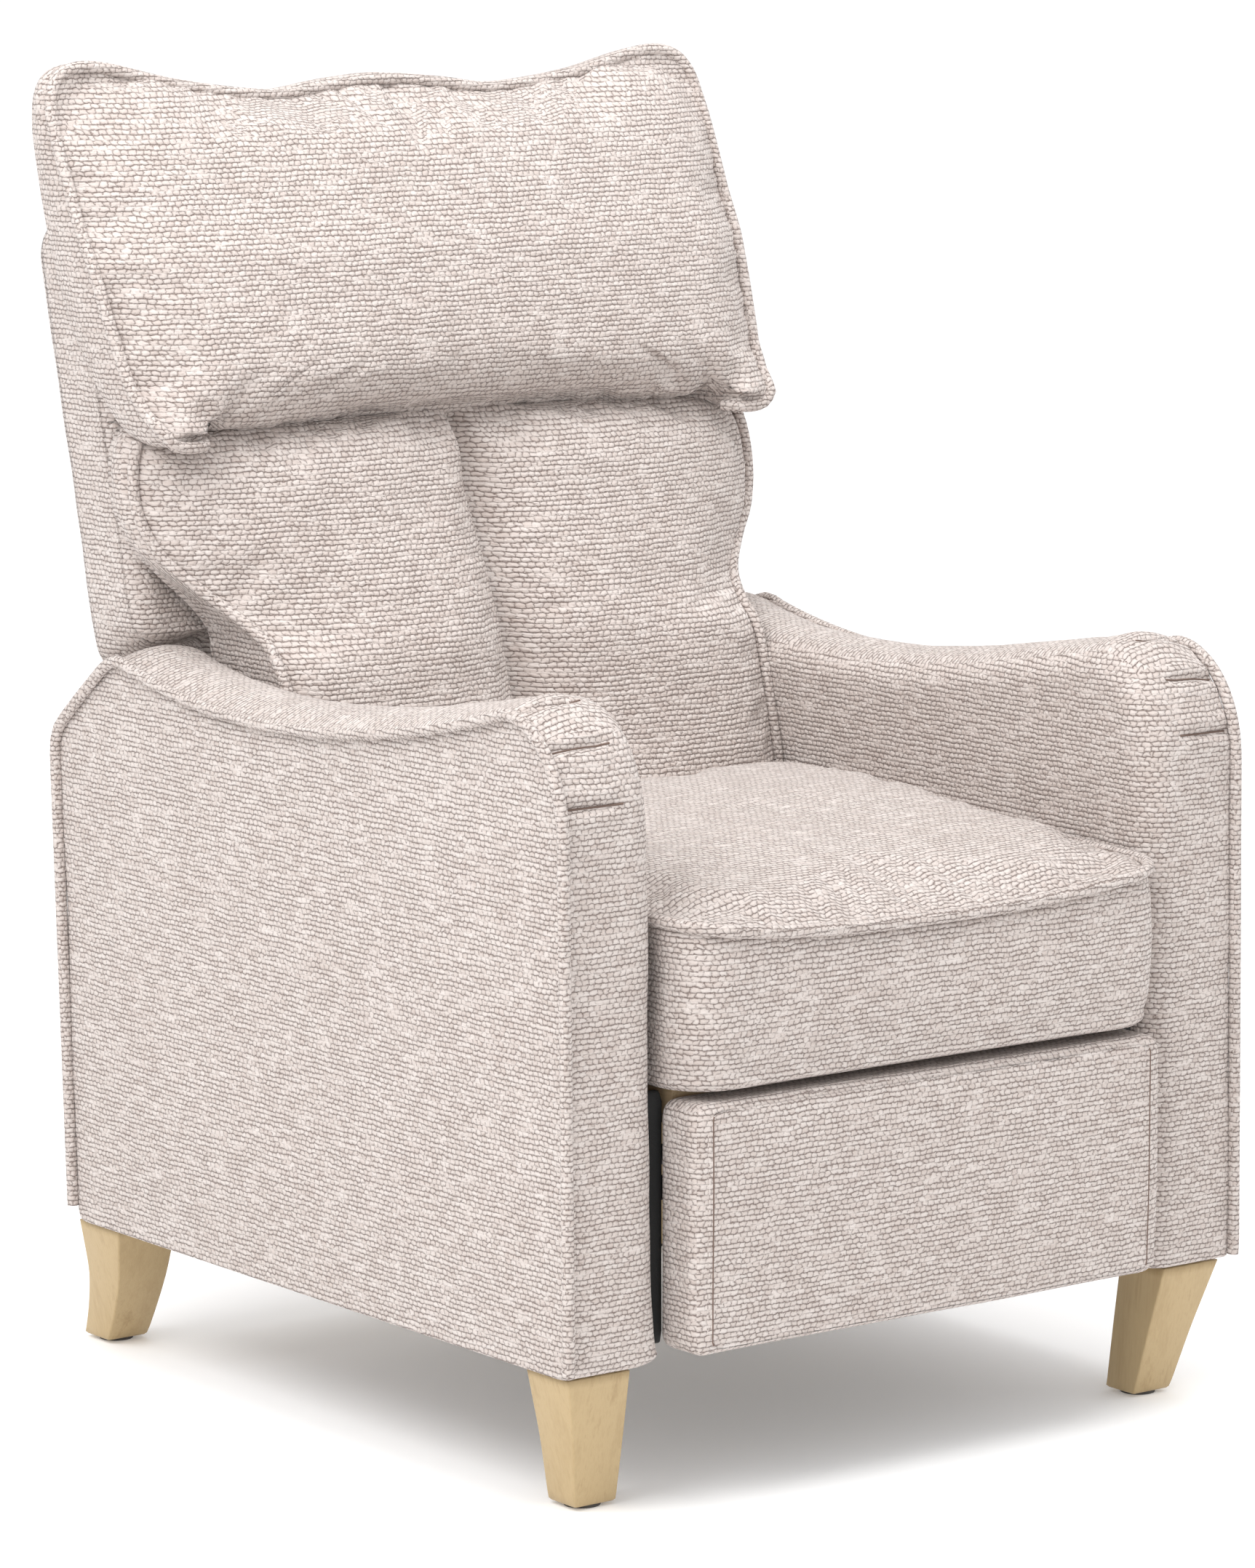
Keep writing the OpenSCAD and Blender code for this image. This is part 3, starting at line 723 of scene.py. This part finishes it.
def makeArm(side):
    a = armLook
    name = "arm_cover_left" if side < 0 else "arm_cover_right"
    profile = armProfile()
    normal = profileNormals(profile)
    centre = np.array(a["middle"])
    top = np.clip(normal[:, 1], 0, 1)
    rearness = np.clip((profile[:, 0] - 0.4) / 0.25, 0, 1)
    frontness = np.clip((0.15 - profile[:, 0]) / 0.15, 0, 1)
    crown = a["crown"] - a["crownLossRear"] * rearness - a["crownLossFront"] * frontness
    crown = top * crown + 0.0025
    lowness = np.clip((profile[:, 1] - armBottomZ - 0.002) / 0.05, 0, 1)
    crown = evened(crown * lowness, 6)
    radius = evened(a["outerRound"] + (a["innerRound"] - a["outerRound"]) * lowness, 6)
    edgeX = armOuterX - 0.001
    rings = []

    def ring(flat, x):
        return np.stack([np.ones(len(flat)) * x * side, frontY + flat[:, 0], flat[:, 1]], 1)

    for k in (0.0, 0.1, 0.22, 0.34, 0.46, 0.58, 0.69, 0.79, 0.87, 0.93, 0.965, 0.985, 1.0):
        flat = centre + k * (profile - centre)
        puff = a["sidePuff"] * (1 - np.abs((flat[:, 0] - 0.34) / 0.36) ** 4).clip(0, 1)
        puff *= (1 - np.abs((flat[:, 1] - 0.34) / 0.26) ** 4).clip(0, 1) * (1 - k ** 8)
        rings.append(ring(flat, edgeX + puff - 0.0005))
    inner = armInnerX + 0.001
    bandEnd = inner + a["innerRound"]
    for i in range(1, 19):
        t = i / 18
        x = edgeX + (bandEnd - edgeX) * t
        lift = crown * math.sin(math.pi * (0.04 + 0.66 * t)) ** 0.8
        rings.append(ring(profile + normal * (lift - dartDepth(profile, edgeX - x))[:, None], x))
    endLift = crown * math.sin(math.pi * 0.70) ** 0.8
    for i in range(1, 9):
        angle = i * math.pi / 16
        drop = endLift - radius * (1 - math.cos(angle)) - crown * 0.3 * i / 8
        x = bandEnd - a["innerRound"] * math.sin(angle)
        rings.append(ring(profile + normal * drop[:, None], x))
    last = profile + normal * drop[:, None]
    for k in (0.97, 0.9, 0.8, 0.65, 0.5, 0.35, 0.2, 0.1, 0.0):
        rings.append(ring(centre + k * (last - centre), inner))
    dartShadowLines = []
    for z in a["dartZ"]:
        spot = dartSpot(profile, z)
        run = [r[spot] for r in rings[13:31] if edgeX - abs(r[spot][0]) < a["dartLength"]]
        dartShadowLines.append(np.array(run))
    piece = loft(name, rings)
    smooth(piece)
    wrinkle(piece, lambda co, no: np.clip((co[:, 2] - armBottomZ) / 0.03, 0, 1)
            * np.where(np.abs(co[:, 0]) < armInnerX + 0.003, 0.3, 1.0),
            [(0.12, 0.0016), (0.04, 0.0006)], 3.0)
    layFabric(piece)
    piece.name = name.replace("cover", "upholstery")
    dress(piece, fabric, "base", [name])
    # dark lines along the dart grooves: painted shade, in the seam shadow colour
    for place, run in enumerate(dartShadowLines):
        piping(name.replace("cover", "dart") + "_" + str(place + 1),
               onSurface(piece, run, 0.0002), a["dartRadius"], seamShade, "base")
    pipeLine = profile + normal * 0.0030
    upper = pipeLine[pipeLine[:, 1] > armBottomZ + 0.004]
    gap = np.argmax(np.linalg.norm(np.diff(upper, axis=0, append=upper[:1]), axis=1))
    upper = np.roll(upper, -(gap + 1), 0)
    line = np.stack([np.full(len(upper), (edgeX + 0.0028) * side), frontY + upper[:, 0],
                     upper[:, 1]], 1)
    piping(name.replace("cover", "piping"), line, a["pipeRadius"], fabric, "base")


for side in (-1, 1):
    makeArm(side)


# seat cushion

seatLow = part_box("seat_cushion")[0]
seatLook = {
    "halfW": 0.2345, "front": -0.030, "rear": 0.452, "corner": 0.04,
    "pipeZ": 0.4285, "pipeRiseAtSides": 0.016, "crown": 0.046, "bulge": 0.008,
    "rearRise": 0.012, "middleBack": 0.20, "pipeRadius": 0.0050, "clothCap": 0.008,
}


def seatPipeZ(x):
    s = seatLook
    return s["pipeZ"] + s["pipeRiseAtSides"] * np.abs(x / s["halfW"]) ** 2.4


def makeSeat():
    s = seatLook
    outline = roundedBox(s["halfW"], s["front"], s["rear"], s["corner"], 0.008)
    centre = np.array([0.0, s["middleBack"]])
    edgeZ = seatPipeZ(outline[:, 0]) + s["rearRise"] * np.clip(outline[:, 1] / s["rear"], 0, 1)
    rings = []

    def ring(flat, z):
        return np.stack([flat[:, 0], frontY + flat[:, 1], z * np.ones(len(flat))], 1)

    for k in (0.0, 0.08, 0.16, 0.25, 0.34, 0.43, 0.52, 0.61, 0.70, 0.78, 0.85, 0.905, 0.945,
              0.975, 0.992):
        flat = centre + k * (outline - centre)
        side = (1 - np.abs(flat[:, 0] / s["halfW"]) ** 2.4).clip(0, 1) ** 0.55
        ahead = np.clip((flat[:, 1] - s["front"]) / (s["rear"] - s["front"]), 0, 1)
        front = (1 - (1 - ahead) ** 2.6).clip(0, 1) ** 0.62 * (1 - 0.5 * ahead ** 5)
        base = seatPipeZ(flat[:, 0]) + s["rearRise"] * np.clip(flat[:, 1] / s["rear"], 0, 1)
        lift = s["crown"] * (0.28 + 0.72 * side) * front * (1 - k ** 14) ** 0.5
        rings.append(ring(flat, base + lift))
    rings.append(ring(outline, edgeZ))
    low = seatLow.z + 0.001
    away = outline - centre
    away /= np.linalg.norm(away, axis=1)[:, None]
    atFront = np.clip((0.03 - outline[:, 1]) / 0.05, 0.12, 1)
    for i in range(1, 15):
        t = i / 14
        z = edgeZ + (low + 0.012 - edgeZ) * t
        push = s["bulge"] * math.sin(math.pi * min(1.0, 0.06 + 0.94 * t)) ** 0.7 * atFront
        rings.append(ring(outline + away * push[:, None], z))
    for inset, z in ((-0.001, 0.006), (0.003, 0.002), (0.010, 0.0)):
        rings.append(ring(outline - away * inset, low + z))
    for k in (0.85, 0.7, 0.5, 0.3, 0.0):
        rings.append(ring(centre + k * (outline - centre), low))
    rings = stuffed(rings, lambda co, no: (no[:, 2] < 0.25)
                    | (co[:, 2] < seatPipeZ(co[:, 0]) + 0.004), s["clothCap"])
    piece = loft("seat_cushion_cover", rings)
    smooth(piece)
    wrinkle(piece, lambda co, no: np.clip((co[:, 2] - low) / 0.03, 0, 1),
            [(0.12, 0.003), (0.045, 0.0012)], 11.0)
    layFabric(piece)
    dress(piece, fabric, "seat", ["seat_cushion"])
    front = np.concatenate([outline, edgeZ[:, None]], 1)
    front = front[front[:, 1] < 0.40]
    start = np.argmax(np.linalg.norm(np.diff(front, axis=0, append=front[:1]), axis=1))
    front = np.roll(front, -(start + 1), 0)
    line = np.stack([front[:, 0], frontY + front[:, 1] - 0.0045, front[:, 2] + 0.001], 1)
    piping("seat_cushion_piping", line, s["pipeRadius"], fabric, "seat")


makeSeat()


# lumbar cushion

# the back frame leans by lean degrees through one line in its front plane
leanLook = {"lean": 14.3, "back": 0.608, "z": 0.600, "cushionGap": 0.004}


def planeBack(z):
    # where the cushions' rear faces lie, a little in front of the frame
    lean = math.radians(leanLook["lean"])
    return leanLook["back"] + (z - leanLook["z"]) * math.tan(lean) - leanLook["cushionGap"]


lumbarLook = {
    # (height, half width, piping, seam): the last two are distances back
    "stations": [(0.360, 0.224, 0.472, 0.480), (0.40, 0.231, 0.468, 0.480),
                 (0.46, 0.235, 0.464, 0.484), (0.505, 0.236, 0.474, 0.500),
                 (0.55, 0.238, 0.488, 0.514), (0.580, 0.240, 0.502, 0.523),
                 (0.600, 0.240, 0.522, 0.530), (0.620, 0.252, 0.548, 0.538),
                 (0.645, 0.276, 0.572, 0.548), (0.670, 0.298, 0.588, 0.560),
                 (0.700, 0.309, 0.600, 0.574), (0.730, 0.309, 0.607, 0.586),
                 (0.752, 0.303, 0.612, 0.596), (0.768, 0.292, 0.620, 0.604)],
    "channel": 0.042, "pipeRadius": 0.0048, "wideAbove": 0.63, "clothCap": 0.004,
}


def fromTable(table, z, column=1):
    table = np.array(table)
    return np.interp(z, table[:, 0], table[:, column])


def mirrored(half):
    # closed outline from its right half, listed from the bottom centre up
    return np.array(half + [(-x, z) for x, z in half[-2:0:-1]])


def makeLumbar():
    b = lumbarLook
    stations = smoothPath(b["stations"], 0.0085)
    low, high = stations[0, 0], stations[-1, 0]
    u = np.sin(np.linspace(-math.pi / 2, math.pi / 2, 61))
    u = 0.55 * u + 0.45 * np.linspace(-1, 1, 61)
    rings = []

    def ring(z, halfW, edge, seam, swellBy, shrink=0.0):
        rear = planeBack(z)
        size = np.abs(u)
        swell = np.sin(math.pi * size ** 0.82).clip(0, 1) ** 0.5
        valley = 0.004 * np.exp(-(size / 0.02) ** 2)
        back = seam + (edge - seam) * size ** 2 - b["channel"] * swellBy * swell + valley
        back = back + (rear - back) * shrink
        front = np.stack([u * halfW * (1 - 0.03 * shrink), frontY + back, np.full(61, z)], 1)
        bow = 0.007 * np.clip((z - b["wideAbove"]) / 0.04, 0, 1) * (1 - shrink)
        t = np.linspace(0, 1, 9)[1:]
        side = np.stack([halfW * (1 - 0.03 * shrink) + bow * np.sin(math.pi * t),
                         frontY + back[-1] + (rear - back[-1]) * t, np.full(8, z)], 1)
        t = np.linspace(1, -1, 13)[1:-1]
        rearFace = np.stack([t * halfW * (1 - 0.03 * shrink), np.full(11, frontY + rear),
                             np.full(11, z)], 1)
        other = side[::-1] * np.array([-1, 1, 1])
        return np.concatenate([front, side, rearFace, other])

    def swellAt(z):
        nearTop = np.clip((high - z) / 0.055, 0, 1)
        nearLow = np.clip((z - low) / 0.06, 0, 1)
        return (1 - (1 - nearTop) ** 2) ** 0.5 * (1 - (1 - nearLow) ** 2) ** 0.5

    first, last = stations[0], stations[-1]
    rings.append(ring(low, *first[1:], 0.0, 0.98))
    rings.append(ring(low, *first[1:], 0.0, 0.5))
    for z, halfW, edge, seam in stations:
        rings.append(ring(z, halfW, edge, seam, 0.25 + 0.75 * swellAt(z)))
    rings.append(ring(high + 0.003, *last[1:], 0.0, 0.3))
    rings.append(ring(high + 0.002, *last[1:], 0.0, 0.7))
    rings.append(ring(high, *last[1:], 0.0, 0.98))
    rings = stuffed(rings, lambda co, no: (no[:, 1] > -0.25) | (np.abs(co[:, 0]) < 0.008)
                    | (np.abs(co[:, 0]) > 0.97 * fromTable(b["stations"], co[:, 2])),
                    b["clothCap"])
    piece = loft("lumbar_cushion_cover", rings)
    smooth(piece)
    wrinkle(piece, lambda co, no: np.clip(-no[:, 1] + 0.2, 0, 1)
            * np.clip(np.abs(co[:, 0]) / 0.02, 0, 1),
            [(0.11, 0.004), (0.045, 0.0016), (0.02, 0.0005)], 5.0)
    layFabric(piece, (1.0, 2.2, 1.0))
    dress(piece, fabric, "back", ["lumbar_cushion"])
    for side in (-1, 1):
        run = stations[(stations[:, 0] > 0.42) & (stations[:, 0] < 0.757)]
        line = np.stack([side * (run[:, 1] + 0.002), frontY + run[:, 2] - 0.005, run[:, 0]], 1)
        piping("lumbar_piping_" + ("left" if side < 0 else "right"), line, b["pipeRadius"],
               fabric, "back")


makeLumbar()


# head pillow

pillowLook = {
    "outline": [(0.0, 0.762), (0.12, 0.762), (0.215, 0.760), (0.262, 0.757), (0.288, 0.756),
                (0.303, 0.763), (0.313, 0.790), (0.320, 0.84), (0.325, 0.90), (0.327, 0.96),
                (0.327, 1.005), (0.322, 1.034), (0.306, 1.050), (0.272, 1.052), (0.200, 1.036),
                (0.115, 1.026), (0.055, 1.032), (0.0, 1.036)],
    "edgeBack": [(0.75, 0.560), (0.768, 0.563), (0.783, 0.582), (0.805, 0.599), (0.858, 0.620),
                 (0.898, 0.636), (0.932, 0.655), (0.979, 0.676), (1.016, 0.693), (1.055, 0.706)],
    "rearBack": [(0.75, 0.606), (0.771, 0.628), (0.802, 0.650), (0.848, 0.676), (0.901, 0.696),
                 (0.953, 0.710), (1.001, 0.720), (1.055, 0.726)],
    "halfW": 0.327, "middleZ": 0.90, "swell": 0.050, "pipeRadius": 0.0050, "clothCap": 0.008,
    "tuckX": 0.258, "tuckZ": 0.757, "underRoll": 0.042,
}


def pillowEdge(flat):
    # the lower seam runs further back between the two tucks
    p = pillowLook
    inside = np.clip((p["tuckX"] + 0.014 - np.abs(flat[:, 0])) / 0.028, 0, 1)
    inside = inside ** 2 * (3 - 2 * inside)
    low = np.exp(-(np.clip(flat[:, 1] - p["tuckZ"], 0, 1) / 0.020) ** 2)
    return fromTable(p["edgeBack"], flat[:, 1]) + p["underRoll"] * inside * low


def gathers(co, no):
    # folds that fan out from each tuck and sink into it
    p = pillowLook
    change = np.zeros(len(co))
    for side in (-1, 1):
        dx = co[:, 0] - side * p["tuckX"]
        dz = co[:, 2] - p["tuckZ"]
        away = np.hypot(dx, dz)
        angle = np.arctan2(dx, dz + 0.004)
        fold = np.cos(angle * 7.0 + 0.6 * side) * np.exp(-((away - 0.022) / 0.026) ** 2)
        change += 0.0032 * fold - 0.016 * np.exp(-(away / 0.020) ** 2)
    return change * np.clip(-no[:, 1] + 0.2, 0, 1)


def makePillow():
    p = pillowLook
    outline = smoothPath(mirrored(p["outline"]), 0.008, True)
    centre = np.array([0.0, p["middleZ"]])
    edge = pillowEdge(outline)
    rear = np.maximum(fromTable(p["rearBack"], outline[:, 1]), edge + 0.006)
    rings = []

    def ring(flat, back):
        return np.stack([flat[:, 0], frontY + back, flat[:, 1]], 1)

    for k in (0.0, 0.06, 0.12, 0.18, 0.25, 0.32, 0.39, 0.46, 0.53, 0.60, 0.66, 0.72, 0.78, 0.83,
              0.88, 0.92, 0.95, 0.975, 0.99, 1.0):
        flat = centre + k * (outline - centre)
        aside = (1 - np.abs(flat[:, 0] / p["halfW"]) ** 3.0).clip(0, 1) ** 0.6
        level = np.clip((flat[:, 1] - p["tuckZ"]) / 0.285, 0, 1)
        upright = (1 - np.abs(2 * level ** 0.85 - 1) ** 2.6).clip(0, 1) ** 0.6
        swell = p["swell"] * (0.15 + 0.85 * aside * upright) * (1 - k ** 14) ** 0.5
        rings.append(ring(flat, pillowEdge(flat) - swell))
    away = outline - centre
    away /= np.linalg.norm(away, axis=1)[:, None]
    for i in range(1, 8):
        t = i / 7
        puff = 0.005 * math.sin(math.pi * t)
        rings.append(ring(outline + away * puff, edge + (rear - edge) * t))
    for k in (0.97, 0.92, 0.85, 0.7, 0.5, 0.3, 0.0):
        flat = centre + k * (outline - centre)
        rim = fromTable(p["rearBack"], flat[:, 1])
        wall = np.minimum(planeBack(flat[:, 1]), rim + 0.012)
        blend = min(1.0, (1 - k) / 0.15)
        rings.append(ring(flat, wall * blend + rim * (1 - blend)))
    rings = stuffed(rings, lambda co, no: (no[:, 1] > -0.15)
                    | (co[:, 1] - frontY > pillowEdge(co[:, ::2]) - 0.002), p["clothCap"])
    piece = loft("head_pillow_cover", rings)
    smooth(piece)
    wrinkle(piece, lambda co, no: np.clip(-no[:, 1] + 0.3, 0, 1),
            [(0.12, 0.004), (0.045, 0.0015), (0.02, 0.0004)], 9.0)
    co = readPoints(piece)
    no = pointNormals(piece)
    writePoints(piece, co + no * gathers(co, no)[:, None])
    layFabric(piece, (1.0, 1.8, 1.0))
    dress(piece, fabric, "back", ["head_pillow"])
    half = [q for q in p["outline"] if q[0] > 0.215 or q[1] > 0.9]
    run = smoothPath(half + [(-x, z) for x, z in half[-2::-1]], 0.006)
    line = np.stack([run[:, 0] * 1.006, frontY + pillowEdge(run) - 0.003, run[:, 1]], 1)
    piping("head_pillow_piping", line, p["pipeRadius"], fabric, "back")


makePillow()


# back shell

backLook = {
    "thick": 0.083, "round": 0.018,
    "outline": [(0.0, -0.298), (0.20, -0.298), (0.224, -0.296), (0.231, -0.285), (0.231, -0.20),
                (0.231, -0.05), (0.233, -0.012), (0.245, -0.002), (0.27, -0.002), (0.290, 0.002),
                (0.299, 0.020), (0.299, 0.10), (0.299, 0.30), (0.296, 0.335), (0.284, 0.350),
                (0.25, 0.353), (0.0, 0.353)],
}


def leaned(x, through, up):
    # a point of the leaning frame: through counts from its front plane, up along it
    lean = math.radians(leanLook["lean"])
    back = leanLook["back"] + through * math.cos(lean) + up * math.sin(lean)
    z = leanLook["z"] - through * math.sin(lean) + up * math.cos(lean)
    return np.stack([x, frontY + back, z], 1)


def wingDrop(flat, through):
    # the wings' lower edges slope down towards the rear
    aside = np.clip((np.abs(flat[:, 0]) - 0.240) / 0.02, 0, 1)
    low = np.clip((0.05 - flat[:, 1]) / 0.06, 0, 1)
    return flat[:, 1] - 0.024 * aside * low * np.clip(through / backLook["thick"], 0, 1)


def makeBackShell():
    s = backLook
    outline = smoothPath(mirrored(s["outline"]), 0.01, True)
    centre = np.array([0.0, 0.05])
    away = outline - centre
    away /= np.linalg.norm(away, axis=1)[:, None]
    ones = np.ones(len(outline))
    rings = []
    for k in (0.0, 0.3, 0.6, 0.85):
        flat = centre + k * (outline - centre)
        rings.append(leaned(flat[:, 0], 0.004 * ones, flat[:, 1]))
    steps = 6
    for i in range(steps + 1):
        angle = i * math.pi / 2 / steps
        flat = outline - away * s["round"] * (1 - math.sin(angle))
        through = 0.002 + s["round"] * (1 - math.cos(angle))
        rings.append(leaned(flat[:, 0], through * ones, wingDrop(flat, through)))
    for i in range(steps + 1):
        angle = i * math.pi / 2 / steps
        flat = outline - away * s["round"] * (1 - math.cos(angle))
        through = s["thick"] - s["round"] * (1 - math.sin(angle))
        rings.append(leaned(flat[:, 0], through * ones, wingDrop(flat, through)))
    for k in (0.9, 0.8, 0.65, 0.5, 0.35, 0.2, 0.0):
        flat = centre + k * (outline - centre)
        rings.append(leaned(flat[:, 0], (s["thick"] + 0.004 * (1 - k)) * ones,
                            wingDrop(flat, s["thick"])))
    piece = loft("back_shell", rings)
    smooth(piece)
    wrinkle(piece, lambda co, no: np.ones(len(co)), [(0.13, 0.002), (0.04, 0.0006)], 6.0)
    layFabric(piece)
    dress(piece, fabric, "back", ["back_cover"])


makeBackShell()


# footrest pad

padLow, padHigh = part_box("footrest_pad")
padLook = {"front": -0.038, "rear": 0.010, "corner": 0.013, "round": 0.011, "crown": 0.005,
           # the radius below is for the dark lines of painted shade along the side seams
           "seamIn": 0.016, "seamShadowRadius": 0.0006}


def makeFootrest():
    s = padLook
    outline = roundedBox(padHigh.x - 0.001, padLow.z + 0.001, padHigh.z - 0.001, s["corner"], 0.008)
    centre = np.array([0.0, (padLow.z + padHigh.z) / 2])
    away = outline - centre
    away = np.stack([np.clip(away[:, 0] / 0.233, -1, 1) ** 9,
                     np.clip(away[:, 1] / 0.097, -1, 1) ** 9], 1)
    away /= np.maximum(1e-6, np.linalg.norm(away, axis=1))[:, None]
    ones = np.ones(len(outline))
    rings = []

    def ring(flat, back):
        return np.stack([flat[:, 0], frontY + back * ones, flat[:, 1]], 1)

    for k in (0.0, 0.15, 0.3, 0.45, 0.6, 0.72, 0.82, 0.9, 0.945):
        rings.append(ring(centre + k * (outline - centre), s["front"] + s["crown"] * k ** 4))
    for i in range(7):
        angle = i * math.pi / 12
        flat = outline - away * s["round"] * (1 - math.sin(angle))
        rings.append(ring(flat, s["front"] + s["crown"] + s["round"] * (1 - math.cos(angle))))
    for back in (-0.010, 0.0, 0.006):
        rings.append(ring(outline, back))
    rings.append(ring(outline - away * 0.003, s["rear"] - 0.0005))
    for k in (0.9, 0.6, 0.3, 0.0):
        rings.append(ring(centre + k * (outline - centre), s["rear"] - 0.0002))
    piece = loft("footrest_cover", rings)
    smooth(piece)
    wrinkle(piece, lambda co, no: np.clip(-no[:, 1] + 0.3, 0, 1), [(0.10, 0.0016)], 12.0)
    layFabric(piece)
    dress(piece, fabric, "footrest", ["footrest_pad"])
    # dark lines of painted shade where the front panel meets the side boxing
    for side, sideName in ((-1, "left"), (1, "right")):
        line = [(side * (padHigh.x - s["seamIn"]), frontY + s["front"], z)
                for z in np.linspace(padLow.z + 0.008, padHigh.z - 0.008, 40)]
        piping("footrest_seam_" + sideName, onSurface(piece, line, -0.0001), s["seamShadowRadius"],
               seamShade, "footrest")


makeFootrest()


# rear panel, and dark sheets beside the footrest that paint the shade in the slots there

panelLow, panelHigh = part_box("rear_panel")
slabLook = {
    "panelCorner": 0.008,
    # dark cloth sheets behind the footrest's sides: painted shade in the slots between the footrest
    # and the arms
    "shadeSheetX": (0.2268, 0.2404), "shadeSheetBack": (0.015, 0.024), "shadeSheetZ": (0.122, 0.3155),
    "shadeSheetCorner": 0.003,
}


def makeSlab(name, low, high, corner, material, body, stoodFor=()):
    # upright panel with softened edges
    outline = roundedBox(high[0] - low[0], 0, high[2] - low[2], corner, 0.01)
    outline = outline * np.array([0.5, 1.0]) + np.array([(low[0] + high[0]) / 2, low[2]])
    centre = outline.mean(0)
    rings = []
    for k, back in ((0.0, 0.0), (0.5, 0.0), (0.9, 0.0), (0.985, 0.06), (1.0, 0.25), (1.0, 0.75),
                    (0.985, 0.94), (0.9, 1.0), (0.5, 1.0), (0.0, 1.0)):
        flat = centre + k * (outline - centre)
        rings.append(np.stack([flat[:, 0], np.full(len(flat), low[1] + back * (high[1] - low[1])),
                               flat[:, 1]], 1))
    piece = loft(name, rings, False)
    smooth(piece)
    layFabric(piece)
    dress(piece, material, body, stoodFor)


makeSlab("rear_panel_cover", panelLow, panelHigh, slabLook["panelCorner"], fabric,
         "base", ["rear_panel"])
# the dark sheets are painted shade filling the slots between the footrest and the arms
for side, sideName in ((-1, "left"), (1, "right")):
    ends = sorted(side * x for x in slabLook["shadeSheetX"])
    makeSlab("guard_" + sideName,
             (ends[0], frontY + slabLook["shadeSheetBack"][0], slabLook["shadeSheetZ"][0]),
             (ends[1], frontY + slabLook["shadeSheetBack"][1], slabLook["shadeSheetZ"][1]),
             slabLook["shadeSheetCorner"], finishes["dust_cloth"], "base")


# legs

legLook = {"levels": 14, "cornerRadius": 0.0016, "footBevel": 0.0015}
# (z, outer x, inner x, front and rear distance back), from the foot up
legPaths = {
    "front": [(0.003, 0.299, 0.260, 0.028, 0.062), (0.055, 0.310, 0.263, 0.015, 0.058),
              (0.110, 0.325, 0.267, 0.001, 0.054)],
    "rear": [(0.003, 0.299, 0.260, 0.675, 0.711), (0.030, 0.304, 0.262, 0.657, 0.697),
             (0.062, 0.311, 0.264, 0.638, 0.684), (0.110, 0.325, 0.267, 0.617, 0.676)],
}


def makeLeg(nodeName, side, path):
    table = np.array(path)
    dense = np.linspace(table[0, 0], table[-1, 0], legLook["levels"])
    columns = [np.interp(dense, table[:, 0], table[:, c]) for c in range(1, 5)]
    for c in range(4):
        for unused in range(2):
            columns[c][1:-1] = (columns[c][:-2] + 2 * columns[c][1:-1] + columns[c][2:]) / 4
    radius = legLook["cornerRadius"]
    bevel = legLook["footBevel"]

    def ring(i, inset=0.0):
        outer, innerX, near, far = (c[i] for c in columns)
        corners = []
        for cx, cy, sx, sy, start in ((outer, near, -1, 1, -90), (outer, far, -1, -1, 0),
                                      (innerX, far, 1, -1, 90), (innerX, near, 1, 1, 180)):
            ox = cx + sx * (radius + inset)
            oy = cy + sy * (radius + inset)
            for j in range(4):
                angle = math.radians(start + j * 30)
                corners.append((side * (ox + radius * math.cos(angle)),
                                frontY + oy + radius * math.sin(angle), dense[i]))
        return corners

    foot = ring(0, bevel)
    footCentre = (side * (columns[0][0] + columns[1][0]) / 2,
                  frontY + (columns[2][0] + columns[3][0]) / 2, dense[0])
    rings = [[footCentre] * len(foot), foot]
    rings.append([(x, y, z + bevel) for x, y, z in ring(0)])
    for i in range(1, len(dense)):
        rings.append(ring(i))
    rings.append([tuple(np.mean(rings[-1], 0))] * len(foot))
    piece = loft(nodeName + "_shaped", rings, False)
    smooth(piece)
    dress(piece, legWood, "base", [nodeName])


for side, sideName in ((-1, "left"), (1, "right")):
    for end in ("front", "rear"):
        makeLeg("leg_" + end + "_" + sideName, side, legPaths[end])
